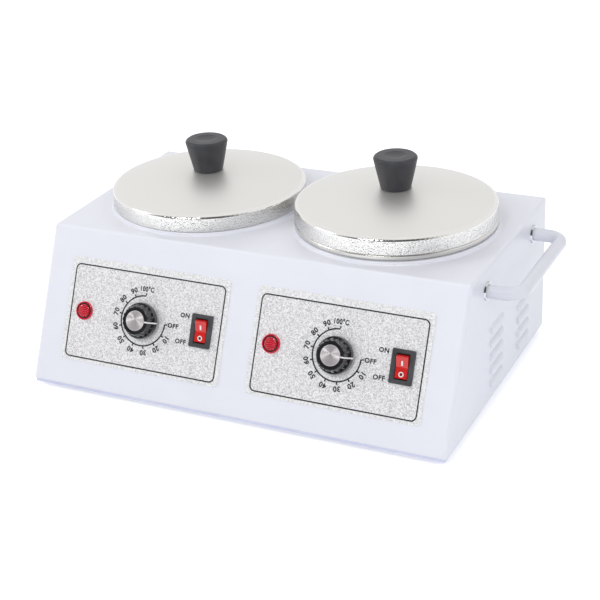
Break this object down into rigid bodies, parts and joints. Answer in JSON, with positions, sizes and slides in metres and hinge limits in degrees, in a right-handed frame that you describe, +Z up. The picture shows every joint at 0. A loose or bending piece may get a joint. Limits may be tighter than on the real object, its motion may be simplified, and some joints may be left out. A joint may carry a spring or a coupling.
{
  "type": "double wax warmer",
  "caption": "Sloped white steel housing with paired heating wells, lift-out aluminium pots, domed lids with knobs, thermostat dials, pilot lamps, rocker switches and a side handle.",
  "frame": {"origin": "on the surface that the feet stand on, under the middle of the whole object's box", "axes": "+X along the front to the user's right, +Y from the sloped front to the back, +Z up"},
  "size_m": [0.4152, 0.263, 0.1907],
  "materials": {
    "coat": "satin powder coat, white with a faint lilac cast",
    "handle_coat": "gloss powder coat on a steel rod, white",
    "panel_aluminium": "fine speckled satin aluminium with black printed scale",
    "lid_aluminium": "spun satin aluminium with a bright rolled skirt",
    "pot_aluminium": "drawn aluminium, satin inside, bright rim",
    "well_aluminium": "drawn aluminium, mill finish",
    "knob_plastic": "dark grey phenolic, lightly polished crown",
    "dial_plastic": "black moulded knob with moulded flutes",
    "black_plastic": "black moulded nylon",
    "chrome": "bright spun cap and ferrules",
    "red_lens": "translucent red lens",
    "red_plastic": "glossy red rocker with white marks",
    "rubber": "black rubber",
    "steel": "zinc plated steel",
    "copper": "drawn copper",
    "felt": "white glass fibre felt",
    "ivory_plastic": "ivory moulded terminal block"
  },
  "bodies": {
    "housing": {"housing_shell": "coat", "base_pan": "coat", "rubber_feet": "rubber", "foot_screws": "steel", "pan_screws": "steel", "carry_handle": "handle_coat", "handle_ferrules": "chrome", "handle_screws": "steel", "cord_gland": "black_plastic", "gland_nut": "black_plastic", "terminal_block": "ivory_plastic", "control_plate_left": "panel_aluminium", "control_plate_right": "panel_aluminium", "lamp_lens_left": "red_lens", "lamp_lens_right": "red_lens", "lamp_body_left": "black_plastic", "lamp_body_right": "black_plastic", "switch_frame_left": "black_plastic", "switch_frame_right": "black_plastic", "thermostat_left": "steel", "thermostat_right": "steel", "thermostat_screws_left": "steel", "thermostat_screws_right": "steel", "sensor_left": "copper", "sensor_right": "copper", "heating_well_left": "well_aluminium", "heating_well_right": "well_aluminium", "insulation_left": "felt", "insulation_right": "felt", "heater_left": "steel", "heater_right": "steel", "heater_clamp_left": "steel", "heater_clamp_right": "steel"},
    "pot_left": {"pot_left": "pot_aluminium"},
    "lid_left": {"lid_left": "lid_aluminium", "lid_knob_left": "knob_plastic", "lid_screw_left": "steel"},
    "dial_left": {"dial_knob_left": "dial_plastic", "dial_cap_left": "chrome", "dial_spindle_left": "steel"},
    "rocker_left": {"rocker_left": "red_plastic"},
    "pot_right": {"pot_right": "pot_aluminium"},
    "lid_right": {"lid_right": "lid_aluminium", "lid_knob_right": "knob_plastic", "lid_screw_right": "steel"},
    "dial_right": {"dial_knob_right": "dial_plastic", "dial_cap_right": "chrome", "dial_spindle_right": "steel"},
    "rocker_right": {"rocker_right": "red_plastic"}
  },
  "joints": [
    {"name": "pot_left_lift", "type": "slide", "parent": "housing", "child": "pot_left", "axis": [0, 0, 1], "range_m": [0, 0.11]},
    {"name": "lid_left_lift", "type": "slide", "parent": "pot_left", "child": "lid_left", "axis": [0, 0, 1], "range_m": [0, 0.05]},
    {"name": "dial_left_turn", "type": "hinge", "parent": "housing", "child": "dial_left", "pos_m": [-0.10475, -0.10359, 0.0662], "axis": [0, 0.9031, -0.4294], "range_deg": [0, 270]},
    {"name": "rocker_left_press", "type": "hinge", "parent": "housing", "child": "rocker_left", "pos_m": [-0.04865, -0.10386, 0.06633], "axis": [-1, 0, 0], "range_deg": [0, 20]},
    {"name": "pot_right_lift", "type": "slide", "parent": "housing", "child": "pot_right", "axis": [0, 0, 1], "range_m": [0, 0.11]},
    {"name": "lid_right_lift", "type": "slide", "parent": "pot_right", "child": "lid_right", "axis": [0, 0, 1], "range_m": [0, 0.05]},
    {"name": "dial_right_turn", "type": "hinge", "parent": "housing", "child": "dial_right", "pos_m": [0.07325, -0.10359, 0.0662], "axis": [0, 0.9031, -0.4294], "range_deg": [0, 270]},
    {"name": "rocker_right_press", "type": "hinge", "parent": "housing", "child": "rocker_right", "pos_m": [0.12935, -0.10386, 0.06633], "axis": [-1, 0, 0], "range_deg": [0, 20]}
  ]
}
